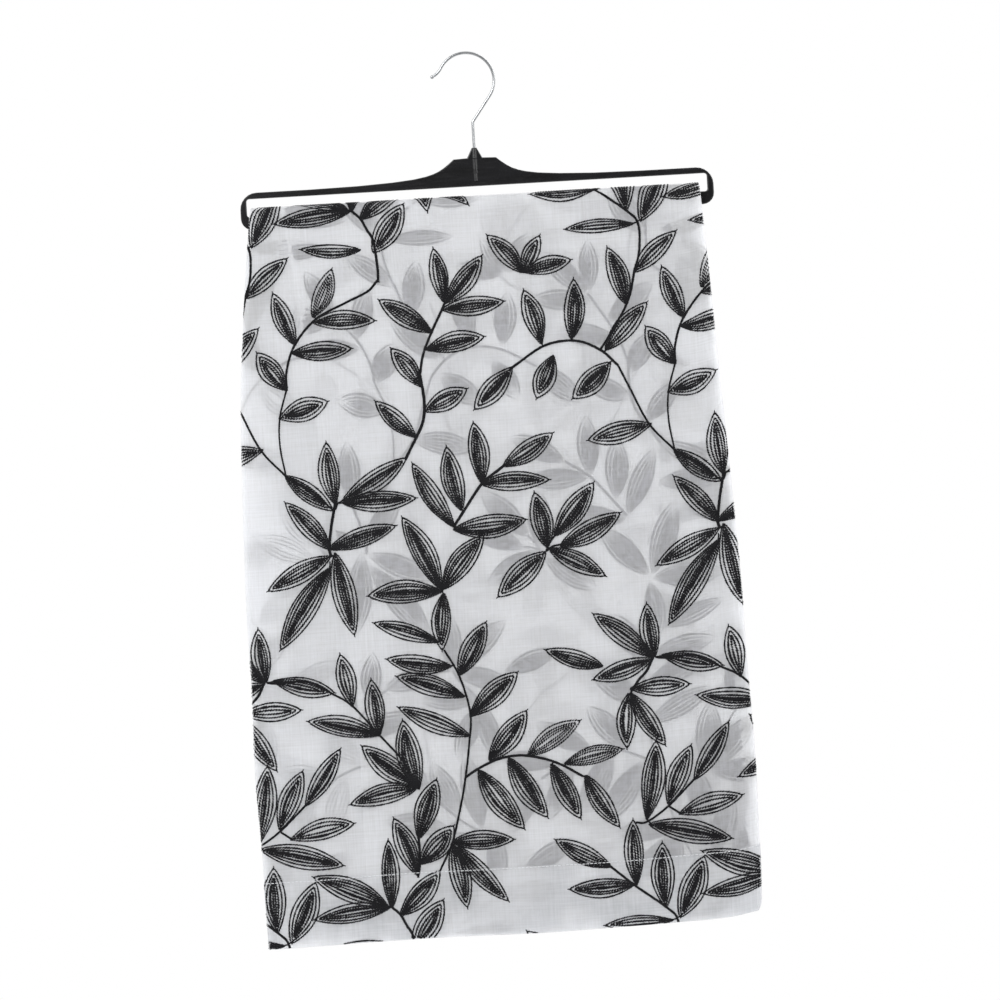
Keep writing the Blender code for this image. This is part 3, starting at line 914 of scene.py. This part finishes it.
def make_stitches(name, pattern, x_range, v_range, material, lift=0.00006, high=0.00034):
    """Raised stitches over one stretch of the flat cloth, as one mesh."""
    stitches = []
    for _, _, px, pv, keep in repeats(pattern[:, 0] / 1000.0, pattern[:, 1] / 1000.0, *x_range, *v_range):
        stitches.append(np.stack([px[keep], pv[keep], pattern[keep, 2], pattern[keep, 3] / 1000.0, pattern[keep, 4] / 1000.0], axis=1))
    s = np.concatenate(stitches)
    c, n = np.cos(s[:, 2])[:, None], np.sin(s[:, 2])[:, None]
    along = STITCH[None, :, 0] * s[:, 3][:, None]
    across = STITCH[None, :, 1] * s[:, 4][:, None]
    fx = s[:, 0][:, None] + along * c - across * n
    fv = s[:, 1][:, None] + along * n + across * c
    fh = np.broadcast_to(lift + STITCH[None, :, 2] * high, fx.shape)
    fv = np.clip(fv, 0.0, PANEL_LENGTH)
    points = place(fx.ravel(), fv.ravel(), fh.ravel())
    faces = (STITCH_FACES[None] + 5 * np.arange(len(s))[:, None, None]).reshape(-1, 3)
    print(name, len(faces), "triangles")
    return mesh_object(name, points, faces, material, smooth_faces=False)


def make_hem_stitches(material):
    """The pale sewing thread that holds the turned-up edge, over everything."""
    rng = np.random.default_rng(3)
    x = np.arange(-LEFT_PART + 0.004, PANEL_WIDTH - LEFT_PART - 0.004, 0.0029)
    n = len(x)
    v = HEM - 0.0008 + 0.00022 * np.sin(x * 60.0) + 0.00012 * (rng.random(n) - 0.5)
    turn = 0.05 * (rng.random(n) - 0.5)
    c, t = np.cos(turn)[:, None], np.sin(turn)[:, None]
    along, across = STITCH[None, :, 0] * 0.0025, STITCH[None, :, 1] * 0.00062
    fx, fv = x[:, None] + along * c - across * t, v[:, None] + along * t + across * c
    fh = np.broadcast_to(0.00030 + STITCH[None, :, 2] * 0.00022, fx.shape)
    points = place(fx.ravel(), fv.ravel(), fh.ravel())
    faces = (STITCH_FACES[None] + 5 * np.arange(n)[:, None, None]).reshape(-1, 3)
    return mesh_object("hem_stitching", points, faces, material, smooth_faces=False)


def make_back_leaves(name, x_range, v_range, material, rings="", away=0.0002):
    """Leaves of the layers behind: their threads as thin flat rings, close or
    open, or, for the layers deepest inside, plain patches."""
    s = np.linspace(0.004, 0.996, 12)             # no strip ends in a face without area
    points, faces, start = [], [], 0
    bands = []
    for row in LEAF_ROWS:
        _, x, up, heading, long, wide, kind = row
        turn = math.radians(heading)
        c, n = math.cos(turn), math.sin(turn)
        strips = [(wide / 2.0, -wide / 2.0, 0.0, 0.0)]
        if rings == "close":
            strips = [(y + 0.88, y - 0.88, base, tip) for y, base, tip in leaf_lines(wide, kind) if long - tip - base > 6.0]
        elif rings == "open":
            strips = []
            for k in range(3):
                y = wide / 2.0 - 2.7 * k
                if y > 0.3 and long > 4.4 * k + 8.0:
                    strips += [(y, y - 0.62, 1.0 * k, 3.4 * k), (0.62 - y, -y, 1.0 * k, 3.4 * k)]
        for a, b, base, tip in strips:
            lx = base + (long - base - tip) * s
            rim = [np.stack([x + lx * c - y * profile(s) * n, up + lx * n + y * profile(s) * c], axis=1) for y in (a, b)]
            bands.append(np.stack(rim, axis=1))
    for row in STEM_ROWS:
        line = smooth_line(row[1:], 6.0)
        dx, dy = np.gradient(line[:, 0]), np.gradient(line[:, 1])
        run = np.hypot(dx, dy)
        side = np.stack([-dy / run, dx / run], axis=1) * row[0] * 0.5
        bands.append(np.stack([line + side, line - side], axis=1))
    for band in bands:
        bx, bv = band[:, :, 0] / 1000.0, band[:, :, 1] / 1000.0
        wide, tall = REPEAT_ACROSS / 1000.0, REPEAT_UP / 1000.0
        for i in range(math.floor((x_range[0] - 0.35) / wide), math.ceil((x_range[1] + 0.35) / wide) + 1):
            for j in range(math.floor((v_range[0] - 0.55) / tall), math.ceil((v_range[1] + 0.1) / tall) + 1):
                px, pv = bx + i * wide, bv + j * tall
                inside = (px > x_range[0]) & (px < x_range[1]) & (pv > v_range[0]) & (pv < v_range[1])
                quad = inside[:-1].all(axis=1) & inside[1:].all(axis=1)
                if not quad.any():
                    continue
                points.append(np.stack([px.ravel(), pv.ravel()], axis=1))
                q = np.flatnonzero(quad)
                faces.append(np.stack([start + 2 * q, start + 2 * q + 1, start + 2 * q + 3, start + 2 * q + 2], axis=1))
                start += px.size
    flat = np.concatenate(points)
    faces = np.concatenate(faces)
    used, faces = np.unique(faces, return_inverse=True)
    faces = faces.reshape(-1, 4)
    flat = flat[used]
    made = place(flat[:, 0], flat[:, 1], away)
    print(name, 2 * len(faces), "triangles")
    return mesh_object(name, made, faces, material)


# ---------------------------------------------------------------- hook
def arc(cx, cz, radius, start, end, steps):
    return [
        (cx + radius * math.cos(start + (end - start) * i / steps),
         cz + radius * math.sin(start + (end - start) * i / steps))
        for i in range(steps + 1)
    ]


def hook_line():
    cx = -STEM_X
    cz = SEAT_TO_HUB + WIRE - CROOK
    flare_x = cx + (CROOK + FLARE_RADIUS) * math.cos(FLARE_FROM)
    flare_z = cz + (CROOK + FLARE_RADIUS) * math.sin(FLARE_FROM)
    inward = FLARE_FROM - math.pi
    points = arc(flare_x, flare_z, FLARE_RADIUS, inward - FLARE_SWEEP, inward, 14)
    away = math.hypot(0.0 - cx, KINK - cz)
    leave = math.atan2(KINK - cz, 0.0 - cx) + math.acos(CROOK / away)
    points += arc(cx, cz, CROOK, FLARE_FROM, leave, 64)[1:]
    last_x, last_z = points[-1]
    run = math.hypot(last_x, last_z - KINK)
    dir_x, dir_z = -last_x / run, (KINK - last_z) / run
    turn = math.acos(-dir_z)
    back = KINK_RADIUS * math.tan(turn / 2.0)
    for t in (0.34, 0.67):
        points.append((last_x + dir_x * (run - back) * t, last_z + dir_z * (run - back) * t))
    points += arc(KINK_RADIUS, KINK - back, KINK_RADIUS, math.pi - turn, math.pi, 8)
    for t in (0.5, 1.0):
        points.append((0.0, (KINK - back) + (-STEM_IN - KINK + back) * t))
    return points


def make_hook(material):
    line = bpy.data.curves.new("hook_wire", "CURVE")
    line.dimensions = "3D"
    line.bevel_depth = WIRE
    line.bevel_resolution = 5
    line.use_fill_caps = True
    points = hook_line()
    (x0, z0), (x1, z1) = points[0], points[1]
    run = math.hypot(x1 - x0, z1 - z0)
    back_x, back_z = (x0 - x1) / run, (z0 - z1) / run
    # the tip is upset into a small rounded bead
    bead = [(-1.0, 0.16), (-0.85, 0.62), (-0.5, 1.02), (0.0, 1.26), (0.55, 1.30), (1.1, 1.16), (1.6, 1.0)]
    places = [(x0 - back_x * along * 0.001, z0 - back_z * along * 0.001, size) for along, size in bead]
    places += [(x, z, 1.0) for x, z in points[2:]]
    spline = line.splines.new("POLY")
    spline.points.add(len(places) - 1)
    for point, (x, z, size) in zip(spline.points, places):
        point.co = (x, 0.0, z, 1.0)
        point.radius = size
    line.materials.append(material)
    curve = bpy.data.objects.new("hook_wire_curve", line)
    curve.location = (STEM_X, 0.0, -SEAT_TO_HUB)
    bpy.context.scene.collection.objects.link(curve)
    bpy.context.view_layer.update()
    mesh = bpy.data.meshes.new_from_object(curve.evaluated_get(bpy.context.evaluated_depsgraph_get()))
    mesh.transform(curve.matrix_world)
    mesh.shade_smooth()
    hook = bpy.data.objects.new("hook_wire", mesh)
    bpy.context.scene.collection.objects.link(hook)
    bpy.data.objects.remove(curve)
    return hook


# ---------------------------------------------------------------- hub
SLEEVE_ROWS = (
    # half width, depth
    (0.00122, 0.0040),
    (0.00122, 0.0001),
    (0.00195, 0.0001),
    (0.00222, 0.0005),
    (0.00252, 0.0076),
    (0.00228, 0.0078),
    (0.00226, 0.0082),
    (0.00246, 0.0085),
    (0.00246, 0.0155),
    (0.00214, 0.0157),
    (0.00212, 0.0164),
    (0.00206, 0.0166),
    (0.00200, 0.0240),
    (0.00020, 0.0240),
)


def make_sleeve(material):
    """The turned column that shows on both faces, with its two steps. It
    stands a little prouder of the faces than it is wide."""
    around = 32
    turn = np.linspace(0.0, 2.0 * math.pi, around, endpoint=False)
    rows = np.array(SLEEVE_ROWS)
    points = np.stack([
        STEM_X + rows[:, 0, None] * np.cos(turn),
        1.22 * rows[:, 0, None] * np.sin(turn),
        np.repeat(-SEAT_TO_HUB - rows[:, 1, None], around, axis=1),
    ], axis=-1).reshape(-1, 3)
    a = np.arange(len(rows) - 1)[:, None] * around + np.arange(around)
    b = np.arange(len(rows) - 1)[:, None] * around + (np.arange(around) + 1) % around
    faces = np.stack([a, a + around, b + around, b], axis=-1).reshape(-1, 4)
    return mesh_object("hanger_column", points, faces, material, smooth_faces=False)


# ---------------------------------------------------------------- build
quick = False
voile = voile_material()
thread = thread_material("black thread", (0.002, 0.002, 0.003), (0.010, 0.010, 0.012))
reverse_thread = reverse_material("black thread, reverse", 0.0)
inner_thread = reverse_material("black thread, inner drops", 0.7)
white_thread = thread_material("white sewing thread", (0.60, 0.61, 0.63), (0.74, 0.75, 0.77), (0.5, 0.7))
plastic = plastic_material("hanger plastic", 0.36)
worn_plastic = plastic_material("hanger plastic, column", 0.6)
steel = steel_material()

sheet = make_sheet(voile, quick)
pattern = whole_pattern()

edge_l, edge_r = -0.1835, 0.1775
front_end = 0.5225
back_start = front_end + math.pi * (BAR_RADIUS_IN + DROP_PITCH)
back_end = back_start + 0.5205
inner_start = back_end + 0.0044
inner_over = inner_start + 0.5205
inner_front = inner_over + math.pi * BAR_RADIUS_IN

pieces = [
    make_stitches("embroidery_front_lower", pattern, (edge_l - 0.006, edge_r + 0.006), (0.0, 0.262), thread),
    make_stitches("embroidery_front_upper", pattern, (edge_l - 0.006, edge_r + 0.006), (0.262, front_end + 0.013), thread),
    make_stitches("embroidery_back_upper", pattern, (edge_l - 0.006, edge_r + 0.006), (front_end + 0.013, 0.800), thread),
    make_stitches("embroidery_back_lower", pattern, (edge_l - 0.006, edge_r + 0.006), (0.800, back_end + 0.002), thread),
    make_hem_stitches(white_thread),
    make_back_leaves("leaves_right_flap", (edge_r + 0.006, PANEL_WIDTH - LEFT_PART - 0.001), (0.001, back_end), reverse_thread, rings="close", away=-0.00012),
    make_back_leaves("leaves_left_flap", (-LEFT_PART + 0.001, edge_l - 0.006), (0.001, back_end), reverse_thread, rings="open", away=-0.00012),
    make_back_leaves("leaves_inner_drops", (-LEFT_PART + 0.001, PANEL_WIDTH - LEFT_PART - 0.001), (inner_start + 0.004, PANEL_LENGTH - 0.002), inner_thread, away=0.00012),
]

hook = make_hook(steel)
sleeve = make_sleeve(worn_plastic)
for piece in [sheet, *pieces, hook, sleeve]:
    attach(piece, "root")
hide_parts("voile_curtain")
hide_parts("hanger_hook")
for obj in bpy.context.scene.objects:
    if obj.type == "MESH" and obj.name.startswith("hanger_body"):
        for slot in obj.material_slots:
            slot.material = plastic

# ---------------------------------------------------------------- studio
bpy.ops.mesh.primitive_circle_add(vertices=64, radius=1.1, fill_type="NGON", location=(0.0, 0.0, -1.0))
floor = bpy.context.object
floor.name = "studio_floor"
floor.data.materials.append(floor_material())

world = bpy.data.worlds.new("studio")
bpy.context.scene.world = world
world.use_nodes = True
tree = world.node_tree
tree.nodes.clear()
out = tree.nodes.new("ShaderNodeOutputWorld")
light = tree.nodes.new("ShaderNodeBackground")
light.inputs["Color"].default_value = (1.0, 1.0, 1.0, 1.0)
# brightest from round the front and from behind, dim straight in front and from the sides
from_where = tree.nodes.new("ShaderNodeTexCoord")
parts = tree.nodes.new("ShaderNodeSeparateXYZ")
tree.links.new(from_where.outputs["Generated"], parts.inputs[0])
centre = ramp(tree, parts.outputs["Y"], -0.96, -0.55, 0.15, 1.0)
sides = ramp(tree, parts.outputs["Y"], -0.35, -0.05, 1.0, 0.62)
behind = ramp(tree, parts.outputs["Y"], 0.20, 0.60, 0.0, 0.42)
total = maths(tree, "ADD", maths(tree, "MULTIPLY", centre, sides), behind)
tree.links.new(total, light.inputs["Strength"])
seen = tree.nodes.new("ShaderNodeBackground")
seen.inputs["Color"].default_value = (1.0, 1.0, 1.0, 1.0)
seen.inputs["Strength"].default_value = 1.0
path = tree.nodes.new("ShaderNodeLightPath")
choose = tree.nodes.new("ShaderNodeMixShader")
tree.links.new(path.outputs["Is Camera Ray"], choose.inputs[0])
tree.links.new(light.outputs[0], choose.inputs[1])
tree.links.new(seen.outputs[0], choose.inputs[2])
tree.links.new(choose.outputs[0], out.inputs["Surface"])


def area_light(name, place, target, size, power):
    lamp = bpy.data.lights.new(name, "AREA")
    lamp.shape = "DISK"
    lamp.size = size
    lamp.energy = power
    made = bpy.data.objects.new(name, lamp)
    made.location = place
    made.rotation_euler = (Vector(target) - Vector(place)).to_track_quat("-Z", "Y").to_euler()
    bpy.context.scene.collection.objects.link(made)
    return made


area_light("key", (-0.9, -1.5, 0.75), (0.0, 0.0, -0.2), 0.9, 23.3)
area_light("fill", (1.5, -1.4, 0.3), (0.0, 0.0, -0.3), 1.2, 9.0)
area_light("rim", (0.9, 1.8, 0.8), (0.0, 0.0, -0.3), 1.2, 15.0)

camera_data = bpy.data.cameras.new("camera")
camera_data.lens = 100.0
camera_data.sensor_width = 36.0
camera_data.clip_start = 0.05
camera_data.clip_end = 30.0
camera = bpy.data.objects.new("camera", camera_data)
bpy.context.scene.collection.objects.link(camera)
bpy.context.scene.camera = camera
# rolled so that the object leans 3.3 degrees, as it hangs in the picture
camera.matrix_world = (
    Matrix.Translation((0.0072, -2.0, -0.3219))
    @ Matrix.Rotation(math.radians(3.3), 4, "Y")
    @ Matrix.Rotation(math.radians(90.0), 4, "X")
)

bpy.context.scene.view_settings.view_transform = "Standard"
bpy.context.scene.view_settings.look = "None"

bpy.context.view_layer.update()
